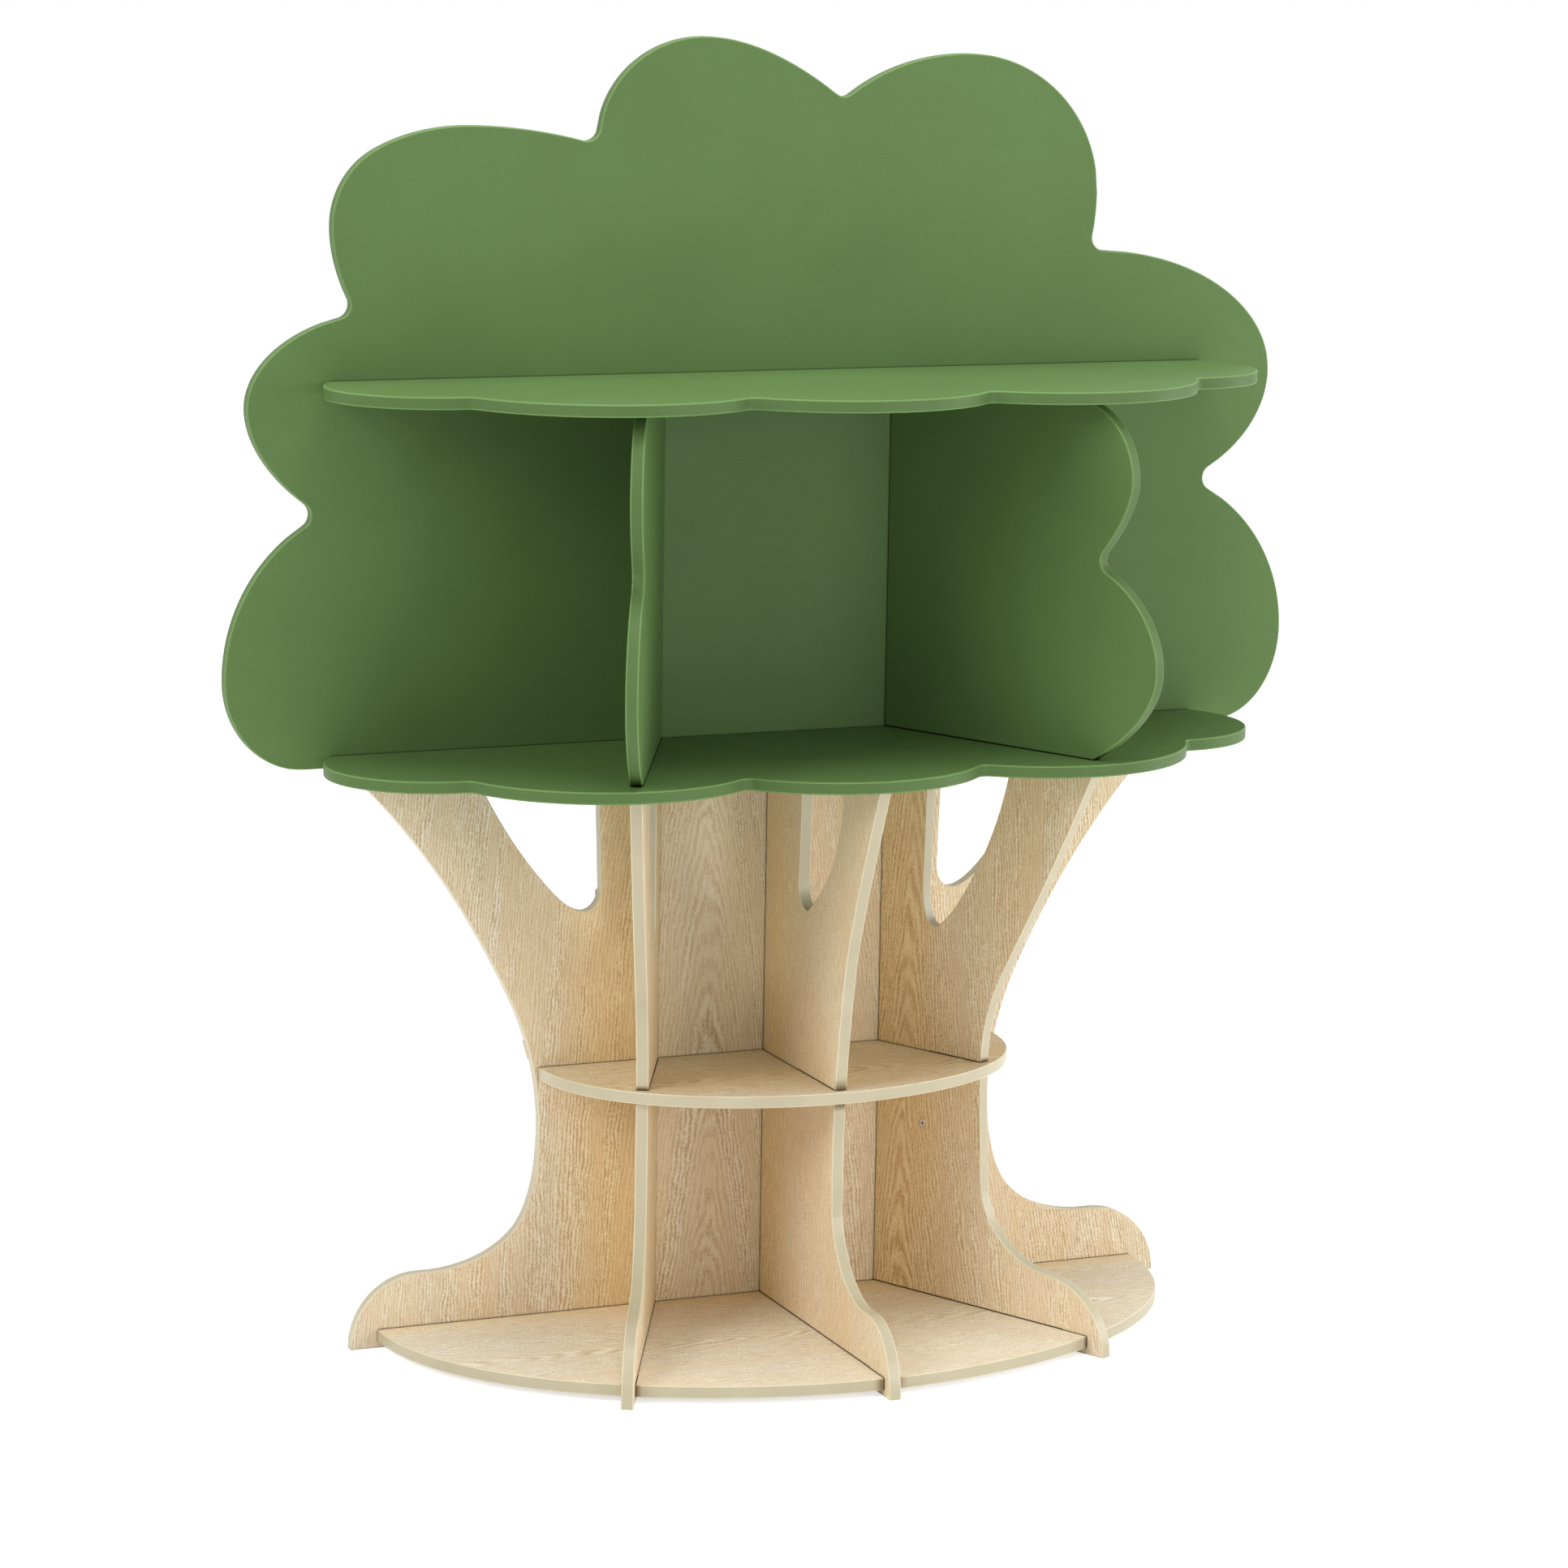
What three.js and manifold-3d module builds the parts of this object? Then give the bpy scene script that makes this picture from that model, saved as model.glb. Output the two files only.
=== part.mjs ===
// A tree shaped bookcase. Green boards make the crown: a lobed back panel, two lobed shelves and two
// splayed dividers. Pale oak boards make the trunk: a waisted back panel with two windows, three fins
// that end in root feet, a half-round middle shelf and a larger half-round base shelf.
//
// Lengths are in millimetres. X runs to the viewer's right, Y to the wall and Z up. The origin lies on
// the floor in the middle of the whole. Inside the bookcase's own group, y = 0 is the back panels'
// front face, so everything that butts a panel starts there.

import * as THREE from 'three';
import { mergeVertices } from 'three/addons/utils/BufferGeometryUtils.js';
import Module from 'manifold-3d';

const wasm = await Module();
wasm.setup();

// Overall size.
const overallWidth = 1117.6;
const overallDepth = 336.55;
const overallHeight = 1263.65;

// All boards are one thickness. Pieces that fit into each other, or stand on each other, keep a gap.
const board = 12;
const fit = 0.3;
const overrun = 20;

// Heights of the shelves' upper faces above the floor.
const baseShelfTop = 18.5;
const midShelfTop = 267.5;
const lowerCrownShelfTop = 587.5;
const upperCrownShelfTop = 943.5;

// Fins and dividers. The outer ones leave the panel this far from the middle, splayed outwards. The
// centre fin's foot sets the overall depth, and the outer feet and the dividers end behind it. A reach is
// measured along the board from the panel's front, and a foot's length back from its tip to its seat.
const finSpacing = 125;
const splay = THREE.MathUtils.degToRad(25);
const outerFootSetback = 56.6;
const dividerSetback = 19.2;
const centreFootLength = 49.5;
const outerFootLength = 52;
const centreFinReach = overallDepth - board;
const outerFinReach = (centreFinReach - outerFootSetback) / Math.cos(splay);
const dividerReach = (centreFinReach - dividerSetback) / Math.cos(splay);

// The trunk's half-width at the roots, and the half-round shelves that it carries. The centre foot
// stands out in front of the base shelf.
const trunkHalfWidth = 434.5;
const midShelfHalfWidth = 243.5;
const midShelfDepth = 189;
const baseShelfHalfWidth = 407.5;
const centreFootOverhang = 12.5;
const baseShelfDepth = centreFinReach - centreFootOverhang;

// Round lobes of a crown shelf, from the middle outwards: how far across each centre lies, and its
// radius. The front ones stay this far behind the centre foot's tip, and the end lobe's centre lies this
// far forward of the panel. A fillet rounds the crease between two lobes.
const middleLobe = { across: 0, setback: 41.5, radius: 155.2 };
const sideLobe = { across: 225, setback: 59.7, radius: 154.5 };
const endLobe = { across: 377, forward: 62, radius: 100 };
const lobeFillet = 10;

// Radius of the creases between the lobes of the crown panel and of the dividers.
const creaseRadius = 13;

// Countersunk screws.
const screwLength = 30;
const screwRadius = 2;
const screwTip = 5;
const screwHeadRadius = 4;
const screwHeadHeight = 2.8;
const headSink = 0.3;

// Connector bolts, each with a barrel nut that lies across its fin.
const boltHeight = 192.6;
const boltRadius = 2.5;
const boltTip = 1.5;
const boltPastNut = 5;
const boltHeadRadius = 5;
const boltHeadHeight = 3;
const nutSetback = 58.1;
const nutRadius = 4.25;
const nutLength = 10;

// Cross recesses in the ends of screws, bolts and nuts.
const recessSpan = 4.6;
const recessWidth = 1;
const recessDepth = 1.6;

// Dowels.
const dowelRadius = 3;
const dowelChamfer = 1;
const throughDowelLength = 40;
const edgeDowelLength = 30;
const blindDowelLength = 28;
const blindDowelDepth = 8;

// How finely round things are divided.
const curveSteps = 10;
const archSteps = 28;
const roundSides = 10;

const lacquer = new THREE.MeshStandardMaterial({ color: 0x678352, roughness: 0.45, metalness: 0 });
const oak = new THREE.MeshStandardMaterial({ color: 0xd2b68c, roughness: 0.6, metalness: 0 });
const steel = new THREE.MeshStandardMaterial({ color: 0xb4b8bd, roughness: 0.35, metalness: 1 });
const beech = new THREE.MeshStandardMaterial({ color: 0xd6b482, roughness: 0.7, metalness: 0 });

// Heights that follow from the shelves.
const trunkTop = lowerCrownShelfTop - board;
const crownHeight = overallHeight - trunkTop;
const finBottom = baseShelfTop + fit;
const finTop = trunkTop - fit;
const dividerBottom = lowerCrownShelfTop + fit;
const dividerTop = upperCrownShelfTop - board - fit;

const bookcase = new THREE.Group();
bookcase.position.y = overallDepth / 2 - board;

// Solids for cutting

// A closed solid from a geometry: shared corners merged, triangles without area dropped.
function toSolid(geometry) {
  const bare = geometry.clone();
  bare.deleteAttribute('normal');
  bare.deleteAttribute('uv');
  const merged = mergeVertices(bare);
  const corners = merged.index.array;
  const triVerts = [];
  for (let at = 0; at < corners.length; at += 3) {
    const [a, b, c] = corners.slice(at, at + 3);
    if (a !== b && b !== c && c !== a) {
      triVerts.push(a, b, c);
    }
  }
  return new wasm.Manifold(new wasm.Mesh({
    numProp: 3,
    vertProperties: merged.attributes.position.array,
    triVerts: Uint32Array.from(triVerts),
  }));
}

function toGeometry(solid) {
  const mesh = solid.getMesh();
  const geometry = new THREE.BufferGeometry();
  geometry.setAttribute('position', new THREE.BufferAttribute(mesh.vertProperties, mesh.numProp));
  geometry.setIndex(new THREE.BufferAttribute(mesh.triVerts, 1));
  const faceted = geometry.toNonIndexed();
  faceted.computeVertexNormals();
  return faceted;
}

// Cutters wait beside the boards that they cut, so a hole that passes several boards is one cutter.
const cutters = [];

function addCutter(parent, geometry, targets) {
  const cutter = new THREE.Mesh(geometry);
  parent.add(cutter);
  cutters.push({ cutter, targets });
  return cutter;
}

// Cuts all that waits out of one board, in the board's own frame.
function carve(target) {
  const toTarget = target.matrixWorld.clone().invert();
  let solid = toSolid(target.geometry);
  for (const { cutter, targets } of cutters) {
    if (targets.includes(target)) {
      const place = toTarget.clone().multiply(cutter.matrixWorld);
      solid = solid.subtract(toSolid(cutter.geometry.clone().applyMatrix4(place)));
    }
  }
  target.geometry = toGeometry(solid);
}

// Outlines

const direction = (degrees) => {
  const angle = THREE.MathUtils.degToRad(degrees);
  return new THREE.Vector2(Math.cos(angle), Math.sin(angle));
};

// Rounds an outline from one stop to the next. Both handles of the curve lie on the stops' tangents,
// at the share of the way to their crossing that draws a true arc when the two ways are equal. Where
// the tangents don't cross between the stops, the curve is S shaped and each handle is a third of it.
function curveTo(shape, from, to) {
  const leaving = direction(from.heading);
  const arriving = direction(to.heading);
  const turn = leaving.cross(arriving);
  const leastTurn = 0.02;
  if (Math.abs(turn) < leastTurn) {
    shape.lineTo(to.spot.x, to.spot.y);
    return;
  }
  const step = to.spot.clone().sub(from.spot);
  const angle = Math.acos(leaving.dot(arriving));
  const handleShare = (4 / 3) * Math.tan(angle / 4) / Math.tan(angle / 2);
  let ahead = handleShare * step.cross(arriving) / turn;
  let behind = handleShare * leaving.cross(step) / turn;
  if (Math.min(ahead, behind) <= 0) {
    ahead = step.length() / 3;
    behind = ahead;
  }
  const first = from.spot.clone().addScaledVector(leaving, ahead);
  const second = to.spot.clone().addScaledVector(arriving, -behind);
  shape.bezierCurveTo(first.x, first.y, second.x, second.y, to.spot.x, to.spot.y);
}

// A stop is [across, up, heading]: two shares that place turns into a point, and the way the edge runs
// there, in degrees anticlockwise from across. A fourth number makes it a crease: place gives its
// centre, and the edge rounds it clockwise from the first heading to the second.
function readStop([across, up, heading, leaving], place) {
  const spot = place(across, up);
  if (leaving === undefined) {
    return [{ spot, heading }];
  }
  return [heading, leaving].map((way) => ({
    spot: direction(way + 90).multiplyScalar(creaseRadius).add(spot),
    heading: way,
  }));
}

// Runs an outline through a row of stops, with a straight edge up to the first.
function trace(shape, stops, place) {
  const read = stops.flatMap((stop) => readStop(stop, place));
  shape.lineTo(read[0].spot.x, read[0].spot.y);
  for (let at = 1; at < read.length; at += 1) {
    curveTo(shape, read[at - 1], read[at]);
  }
}

// The same stops on the other side of the middle, in the order that keeps the outline's direction.
const mirrored = (stops) => stops.map(([across, up, heading]) => [-across, up, -heading]).reverse();

// Boards

function addBoard(parent, name, shape, steps, turn, material) {
  const settings = { depth: board, bevelEnabled: false, curveSegments: steps };
  const mesh = new THREE.Mesh(new THREE.ExtrudeGeometry(shape, settings).applyMatrix4(turn), material);
  mesh.name = name;
  parent.add(mesh);
  return mesh;
}

// Drawn across and up, its front face on y = 0.
const panelTurn = new THREE.Matrix4().makeBasis(
  new THREE.Vector3(1, 0, 0),
  new THREE.Vector3(0, 0, 1),
  new THREE.Vector3(0, -1, 0),
).setPosition(0, board, 0);

// Drawn from above, its underside on z = 0.
const shelfTurn = new THREE.Matrix4();

// Drawn outwards and up, its middle on x = 0. Outwards is -y.
const finTurn = new THREE.Matrix4().makeBasis(
  new THREE.Vector3(0, -1, 0),
  new THREE.Vector3(0, 0, 1),
  new THREE.Vector3(-1, 0, 0),
).setPosition(board / 2, 0, 0);

// The crown's lobes, anticlockwise from the right end of the bottom edge: shares of half the overall
// width and of the crown's height.
const crownShares = [
  [0.870, 0, 0],
  [1, 0.134, 90],
  [0.856, 0.361, 151, 30],
  [0.959, 0.516, 90],
  [0.621, 0.715, 178, 79],
  [0.605, 0.779, 90],
  [0.349, 0.977, 180],
  [0.114, 0.936, 216, 144],
  [-0.146, 1, 180],
  [-0.359, 0.876, 263, 166],
  [-0.572, 0.879, 180],
  [-0.734, 0.848, 208],
  [-0.811, 0.744, 270],
  [-0.802, 0.638, 296, 193],
  [-0.960, 0.499, 270],
  [-0.872, 0.352, 323, 212],
  [-1, 0.126, 270],
  [-0.863, 0, 360],
];

function addCrownPanel() {
  const place = (across, up) => new THREE.Vector2(across * overallWidth / 2, trunkTop + up * crownHeight);
  const shape = new THREE.Shape();
  shape.moveTo(0, trunkTop);
  trace(shape, crownShares, place);
  shape.closePath();
  return addBoard(bookcase, 'crown_back_panel', shape, curveSteps, panelTurn, lacquer);
}

// The trunk's right side from root to branch, and its right window from branch to column: shares of
// the trunk's half-width and height.
const trunkSideShares = [
  [1, 0, 90],
  [0.837, 0.124, 181.8],
  [0.616, 0.182, 132.8],
  [0.557, 0.360, 90],
  [0.625, 0.583, 64.8],
  [1.018, 1, 42.2],
];
const windowShares = [
  [0.725, 1, 246.8],
  [0.535, 0.772, 228.3],
  [0.453, 0.730, 180],
  [0.414, 0.772, 88],
  [0.423, 1, 88],
];

function addTrunkPanel() {
  const place = (across, up) => new THREE.Vector2(across * trunkHalfWidth, up * trunkTop);
  const shape = new THREE.Shape();
  shape.moveTo(0, 0);
  trace(shape, trunkSideShares, place);
  trace(shape, windowShares, place);
  trace(shape, mirrored(windowShares), place);
  trace(shape, mirrored(trunkSideShares), place);
  shape.closePath();
  return addBoard(bookcase, 'trunk_back_panel', shape, curveSteps, panelTurn, oak);
}

// Centre of the fillet that rolls in the crease between two lobes, in front of both.
function creaseCentre(left, right) {
  const toLeft = left.radius + lobeFillet;
  const toRight = right.radius + lobeFillet;
  const step = new THREE.Vector2(right.x - left.x, right.y - left.y);
  const span = step.length();
  const along = (toLeft ** 2 - toRight ** 2 + span ** 2) / (2 * span);
  const aside = Math.sqrt(toLeft ** 2 - along ** 2);
  const unit = step.divideScalar(span);
  return new THREE.Vector2(
    left.x + unit.x * along + unit.y * aside,
    left.y + unit.y * along - unit.x * aside,
  );
}

const bearing = (from, to) => Math.atan2(to.y - from.y, to.x - from.x);

function addCrownShelf(name, top) {
  const seen = ({ across, radius, setback, forward = centreFinReach - setback - radius }) => (
    { x: across, y: -forward, radius }
  );
  const rightHalf = [sideLobe, endLobe].map(seen);
  const leftHalf = rightHalf.map((lobe) => ({ ...lobe, x: -lobe.x })).reverse();
  const lobes = [...leftHalf, seen(middleLobe), ...rightHalf];
  const end = seen(endLobe);
  const rearHalf = end.x + Math.sqrt(end.radius ** 2 - end.y ** 2);
  const creases = lobes.slice(1).map((lobe, at) => creaseCentre(lobes[at], lobe));
  const shape = new THREE.Shape();
  shape.moveTo(-rearHalf, 0);
  lobes.forEach((lobe, at) => {
    const from = creases[at - 1] ?? { x: -rearHalf, y: 0 };
    const to = creases[at] ?? { x: rearHalf, y: 0 };
    shape.absarc(lobe.x, lobe.y, lobe.radius, bearing(lobe, from), bearing(lobe, to), false);
    if (creases[at]) {
      const next = bearing(to, lobes[at + 1]);
      shape.absarc(to.x, to.y, lobeFillet, bearing(to, lobe), next, true);
    }
  });
  shape.closePath();
  const shelf = addBoard(bookcase, name, shape, curveSteps, shelfTurn, lacquer);
  shelf.position.z = top - board;
  return { shelf, rearHalf };
}

// A half-round shelf. The two arch shares say how far its curve's handles reach: out from the panel as
// a share of the depth, and in from the front's middle as a share of the half-width.
const midArchShares = [0.728, 0.403];
const baseArchShares = [0.673, 0.407];

function addArchShelf(name, top, halfWidth, depth, [endShare, frontShare]) {
  const shape = new THREE.Shape();
  shape.moveTo(-halfWidth, 0);
  shape.bezierCurveTo(-halfWidth, -depth * endShare, -halfWidth * frontShare, -depth, 0, -depth);
  shape.bezierCurveTo(halfWidth * frontShare, -depth, halfWidth, -depth * endShare, halfWidth, 0);
  shape.closePath();
  const shelf = addBoard(bookcase, name, shape, archSteps, shelfTurn, oak);
  shelf.position.z = top - board;
  return shelf;
}

// Fins' front edges from the foot's tip up, and their branch slots from front to back: shares of the
// fin's reach and height. The waist is where the middle shelf crosses.
const centreFin = {
  reach: centreFinReach,
  footBack: centreFinReach - centreFootLength,
  waistShare: 0.55,
  frontShares: [
    [1, 0, 90],
    [0.813, 0.120, 183.9],
    [0.550, 0.244, 103.2],
    [0.547, 0.329, 90],
    [0.617, 0.672, 78.4],
    [0.844, 1, 66],
  ],
  slotShares: [
    [0.579, 1, 274.4],
    [0.425, 0.790, 221.1],
    [0.322, 0.746, 180],
    [0.258, 0.790, 87.5],
    [0.275, 1, 87.5],
  ],
  dowelShares: [0.139, 0.712],
};
const outerFin = {
  reach: outerFinReach,
  footBack: outerFinReach - outerFootLength,
  waistShare: 0.447,
  frontShares: [
    [1, 0, 90],
    [0.751, 0.121, 177],
    [0.462, 0.249, 93.4],
    [0.447, 0.456, 90],
    [0.528, 0.625, 61.8],
    [0.893, 1, 67.6],
  ],
  slotShares: [
    [0.548, 1, 260.1],
    [0.334, 0.738, 235.5],
    [0.226, 0.688, 180],
    [0.180, 0.756, 88.7],
    [0.192, 1, 88.7],
  ],
  dowelShares: [0.095, 0.720],
};

// A fin's group stands where its middle plane meets the panel's front, turned by its splay.
function addFinGroup(side) {
  const group = new THREE.Group();
  group.position.x = side * finSpacing;
  group.rotation.z = side * splay;
  bookcase.add(group);
  return group;
}

// A splayed board starts behind the panel's front, and the mitre cut brings it back.
const mitreStart = (side) => (side === 0 ? 0 : -board);

function addFin(group, name, side, fin) {
  const place = (out, up) => new THREE.Vector2(out * fin.reach, up * finTop);
  const shape = new THREE.Shape();
  shape.moveTo(mitreStart(side), finBottom);
  shape.lineTo(fin.footBack, finBottom);
  shape.lineTo(fin.footBack, 0);
  trace(shape, fin.frontShares, place);
  trace(shape, fin.slotShares, place);
  shape.lineTo(mitreStart(side), finTop);
  shape.closePath();
  return addBoard(group, name, shape, curveSteps, finTurn, oak);
}

// A divider's front edge: two bumps with a crease between them.
const dividerShares = [
  [0.777, 0, 29],
  [1, 0.264, 90],
  [0.826, 0.562, 155, 51],
  [0.896, 0.785, 90],
  [0.724, 1, 167],
];
const dividerDowelShares = [0.134, 0.580];

function addDivider(group, name, side) {
  const height = dividerTop - dividerBottom;
  const place = (out, up) => new THREE.Vector2(out * dividerReach, dividerBottom + up * height);
  const shape = new THREE.Shape();
  shape.moveTo(mitreStart(side), dividerBottom);
  trace(shape, dividerShares, place);
  shape.lineTo(mitreStart(side), dividerTop);
  shape.closePath();
  return addBoard(group, name, shape, curveSteps, finTurn, lacquer);
}

// Joints between boards

// A block given by its limits along the fin's three ways: sideways, outwards and up.
function finBlock(halfThick, out, up) {
  const size = [halfThick * 2, out[1] - out[0], up[1] - up[0]];
  return new THREE.BoxGeometry(...size).translate(0, -(out[0] + out[1]) / 2, (up[0] + up[1]) / 2);
}

// The middle shelf and a fin cross by half laps: the shelf is slotted from behind, the fin from in front.
function crossMidShelf(group, finMesh, fin, midShelf) {
  const lapShare = 0.5;
  const lap = fin.reach * fin.waistShare * lapShare;
  const shelfBottom = midShelfTop - board;
  const notchUp = [shelfBottom - fit, midShelfTop + fit];
  addCutter(group, finBlock(board, [lap, fin.reach + overrun], notchUp), [finMesh]);
  const slotUp = [shelfBottom - overrun, midShelfTop + overrun];
  addCutter(group, finBlock(board / 2 + fit, [-overrun, lap + fit], slotUp), [midShelf]);
}

// The foot passes the base shelf in a slot that is open in front.
function passBaseShelf(group, fin, baseShelf) {
  const up = [baseShelfTop - board - overrun, baseShelfTop + overrun];
  addCutter(group, finBlock(board / 2 + fit, [fin.footBack - fit, fin.reach + overrun], up), [baseShelf]);
}

// Splayed boards are cut off along the panel's front.
function mitreBacks(boards) {
  const block = new THREE.BoxGeometry(overallWidth, board * 4, overallHeight + overrun * 2);
  addCutter(bookcase, block, boards).position.set(0, board * 2 - fit, overallHeight / 2);
}

// Fasteners

// A turned solid with its axis along z, from a profile of [radius, height] pairs that climbs from
// axis to axis.
function turned(profile) {
  const points = profile.map(([radius, height]) => new THREE.Vector2(radius, height));
  return new THREE.LatheGeometry(points, roundSides).rotateX(Math.PI / 2);
}

// A cross recess in the end face on z = top.
function recessed(geometry, top) {
  let solid = toSolid(geometry);
  for (const [x, y] of [[recessSpan, recessWidth], [recessWidth, recessSpan]]) {
    const bar = new THREE.BoxGeometry(x, y, recessDepth * 2).translate(0, 0, top);
    solid = solid.subtract(toSolid(bar));
  }
  return toGeometry(solid);
}

// A countersunk screw, its head's face on z = 0 and its point below, and the hole that it needs.
const screw = {
  geometry: recessed(turned([
    [0, -screwLength],
    [screwRadius, screwTip - screwLength],
    [screwRadius, -screwHeadHeight],
    [screwHeadRadius, 0],
    [0, 0],
  ]), 0),
  hole: turned([
    [0, -screwLength - fit],
    [screwRadius + fit, -screwLength - fit],
    [screwRadius + fit, -screwHeadHeight],
    [screwHeadRadius + fit, 0],
    [screwHeadRadius + fit, overrun],
    [0, overrun],
  ]),
  material: steel,
};

// A connector bolt in its fin's middle plane. Its head is sunk until its rim clears the panel's back,
// which takes more where the bolt is splayed. z = 0 is the head's face.
function makeBolt(angle) {
  const headBack = (board - boltHeadRadius * Math.sin(angle)) / Math.cos(angle) - headSink;
  const length = headBack + nutSetback + nutRadius + boltPastNut;
  return {
    headBack,
    geometry: recessed(turned([
      [0, -length],
      [boltRadius - boltTip, -length],
      [boltRadius, boltTip - length],
      [boltRadius, -boltHeadHeight],
      [boltHeadRadius, -boltHeadHeight],
      [boltHeadRadius, 0],
      [0, 0],
    ]), 0),
    hole: turned([
      [0, -length - fit],
      [boltRadius + fit, -length - fit],
      [boltRadius + fit, -boltHeadHeight - fit],
      [boltHeadRadius + fit, -boltHeadHeight - fit],
      [boltHeadRadius + fit, overrun],
      [0, overrun],
    ]),
    material: steel,
  };
}

// A dowel, its middle on z = 0.
function makeDowel(length) {
  const half = length / 2;
  return {
    geometry: turned([
      [0, -half],
      [dowelRadius - dowelChamfer, -half],
      [dowelRadius, dowelChamfer - half],
      [dowelRadius, half - dowelChamfer],
      [dowelRadius - dowelChamfer, half],
      [0, half],
    ]),
    hole: turned([
      [0, -half - fit],
      [dowelRadius + fit, -half - fit],
      [dowelRadius + fit, half + fit],
      [0, half + fit],
    ]),
    material: beech,
  };
}

// A barrel nut, its visible face on z = 0 and its body below, and the hole that it needs.
const barrelNut = {
  geometry: recessed(turned([
    [0, -nutLength],
    [nutRadius, -nutLength],
    [nutRadius, 0],
    [0, 0],
  ]), 0),
  hole: turned([
    [0, -nutLength - fit],
    [nutRadius + fit, -nutLength - fit],
    [nutRadius + fit, overrun],
    [0, overrun],
  ]),
  material: steel,
};

// Adds a fastener and cuts its hole out of every board that it enters.
function fasten(parent, name, fastener, spot, turn, boards) {
  const mesh = new THREE.Mesh(fastener.geometry, fastener.material);
  mesh.name = name;
  parent.add(mesh);
  const hole = addCutter(parent, fastener.hole, boards);
  for (const item of [mesh, hole]) {
    item.position.set(...spot);
    item.rotation.set(...turn);
  }
  return mesh;
}

// Ways that a fastener's head can face.
const facingBack = [-Math.PI / 2, 0, 0];
const facingDown = [Math.PI, 0, 0];
const facingUp = [0, 0, 0];

// A level row of screws from behind the panel into a shelf's rear edge.
function screwShelf(name, places, shelfTop, boards) {
  places.forEach((x, at) => {
    const spot = [x, board - headSink, shelfTop - board / 2];
    fasten(bookcase, `${name}_${at + 1}`, screw, spot, facingBack, boards);
  });
}

// Places spread evenly over a shelf's rear edge, the outer two near its ends.
function spread(count, halfLength) {
  const endShare = 0.92;
  const step = 2 * halfLength * endShare / (count - 1);
  return Array.from({ length: count }, (_, at) => step * (at - (count - 1) / 2));
}

// The bolt and the barrel nut of a fin. The nut shows on the face towards the middle.
function boltFin(group, label, side, finMesh, trunkPanel) {
  const bolt = makeBolt(Math.abs(side) * splay);
  const boltSpot = [0, bolt.headBack, boltHeight];
  const boltMesh = fasten(group, `fin_bolt_${label}`, bolt, boltSpot, facingBack, [trunkPanel, finMesh]);
  const inner = side === 0 ? 1 : -side;
  const nutSpot = [inner * (board / 2 - headSink), -nutSetback, boltHeight];
  const nutTurn = [0, inner * Math.PI / 2, 0];
  const nut = fasten(group, `barrel_nut_${label}`, barrelNut, nutSpot, nutTurn, [finMesh]);
  const bore = addCutter(group, bolt.hole, [nut]);
  bore.position.copy(boltMesh.position);
  bore.rotation.copy(boltMesh.rotation);
  return nut;
}

// Two screws up through the base shelf into a fin, before and behind the middle of its seat.
function screwFoot(group, label, fin, finMesh, baseShelf) {
  const seatShares = [0.25, 0.75];
  seatShares.forEach((share, at) => {
    const spot = [0, -share * fin.footBack, baseShelfTop - board + headSink];
    fasten(group, `foot_screw_${label}_${at + 1}`, screw, spot, facingDown, [baseShelf, finMesh]);
  });
}

// Assembly

const crownPanel = addCrownPanel();
const trunkPanel = addTrunkPanel();
const { shelf: lowerCrownShelf, rearHalf } = addCrownShelf('lower_crown_shelf', lowerCrownShelfTop);
const { shelf: upperCrownShelf } = addCrownShelf('upper_crown_shelf', upperCrownShelfTop);
const midShelf = addArchShelf(
  'mid_shelf', midShelfTop, midShelfHalfWidth, midShelfDepth, midArchShares,
);
const baseShelf = addArchShelf(
  'base_shelf', baseShelfTop, baseShelfHalfWidth, baseShelfDepth, baseArchShares,
);
const boards = [crownPanel, trunkPanel, lowerCrownShelf, upperCrownShelf, midShelf, baseShelf];
const nuts = [];
const splayed = [];

const throughDowel = makeDowel(throughDowelLength);
const blindDowel = makeDowel(blindDowelLength);
const edgeDowel = makeDowel(edgeDowelLength);

for (const [label, side] of [['left', -1], ['centre', 0], ['right', 1]]) {
  const group = addFinGroup(side);
  const fin = side === 0 ? centreFin : outerFin;
  const finMesh = addFin(group, `trunk_fin_${label}`, side, fin);
  boards.push(finMesh);
  crossMidShelf(group, finMesh, fin, midShelf);
  passBaseShelf(group, fin, baseShelf);
  nuts.push(boltFin(group, label, side, finMesh, trunkPanel));
  screwFoot(group, label, fin, finMesh, baseShelf);

  if (side === 0) {
    const height = trunkTop + blindDowelDepth - blindDowelLength / 2;
    fin.dowelShares.forEach((share, at) => {
      const spot = [0, -share * fin.reach, height];
      const into = [finMesh, lowerCrownShelf];
      fasten(group, `fin_dowel_${label}_${at + 1}`, blindDowel, spot, facingUp, into);
    });
  } else {
    const divider = addDivider(group, `crown_divider_${label}`, side);
    boards.push(divider);
    splayed.push(finMesh, divider);
    fin.dowelShares.forEach((share, at) => {
      const spot = [0, -share * fin.reach, lowerCrownShelfTop - board / 2];
      const into = [finMesh, lowerCrownShelf, divider];
      fasten(group, `through_dowel_${label}_${at + 1}`, throughDowel, spot, facingUp, into);
    });
    const height = upperCrownShelfTop - board + blindDowelDepth - blindDowelLength / 2;
    dividerDowelShares.forEach((share, at) => {
      const spot = [0, -share * dividerReach, height];
      const into = [divider, upperCrownShelf];
      fasten(group, `divider_dowel_${label}_${at + 1}`, blindDowel, spot, facingUp, into);
    });
  }
}
mitreBacks(splayed);

// The crown panel stands on the trunk panel, on dowels in the branches and in the column.
const edgeDowelShares = [-0.865, -0.138, 0.138, 0.865];
edgeDowelShares.forEach((share, at) => {
  const spot = [share * trunkHalfWidth, board / 2, trunkTop];
  fasten(bookcase, `panel_dowel_${at + 1}`, edgeDowel, spot, facingUp, [crownPanel, trunkPanel]);
});

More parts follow.
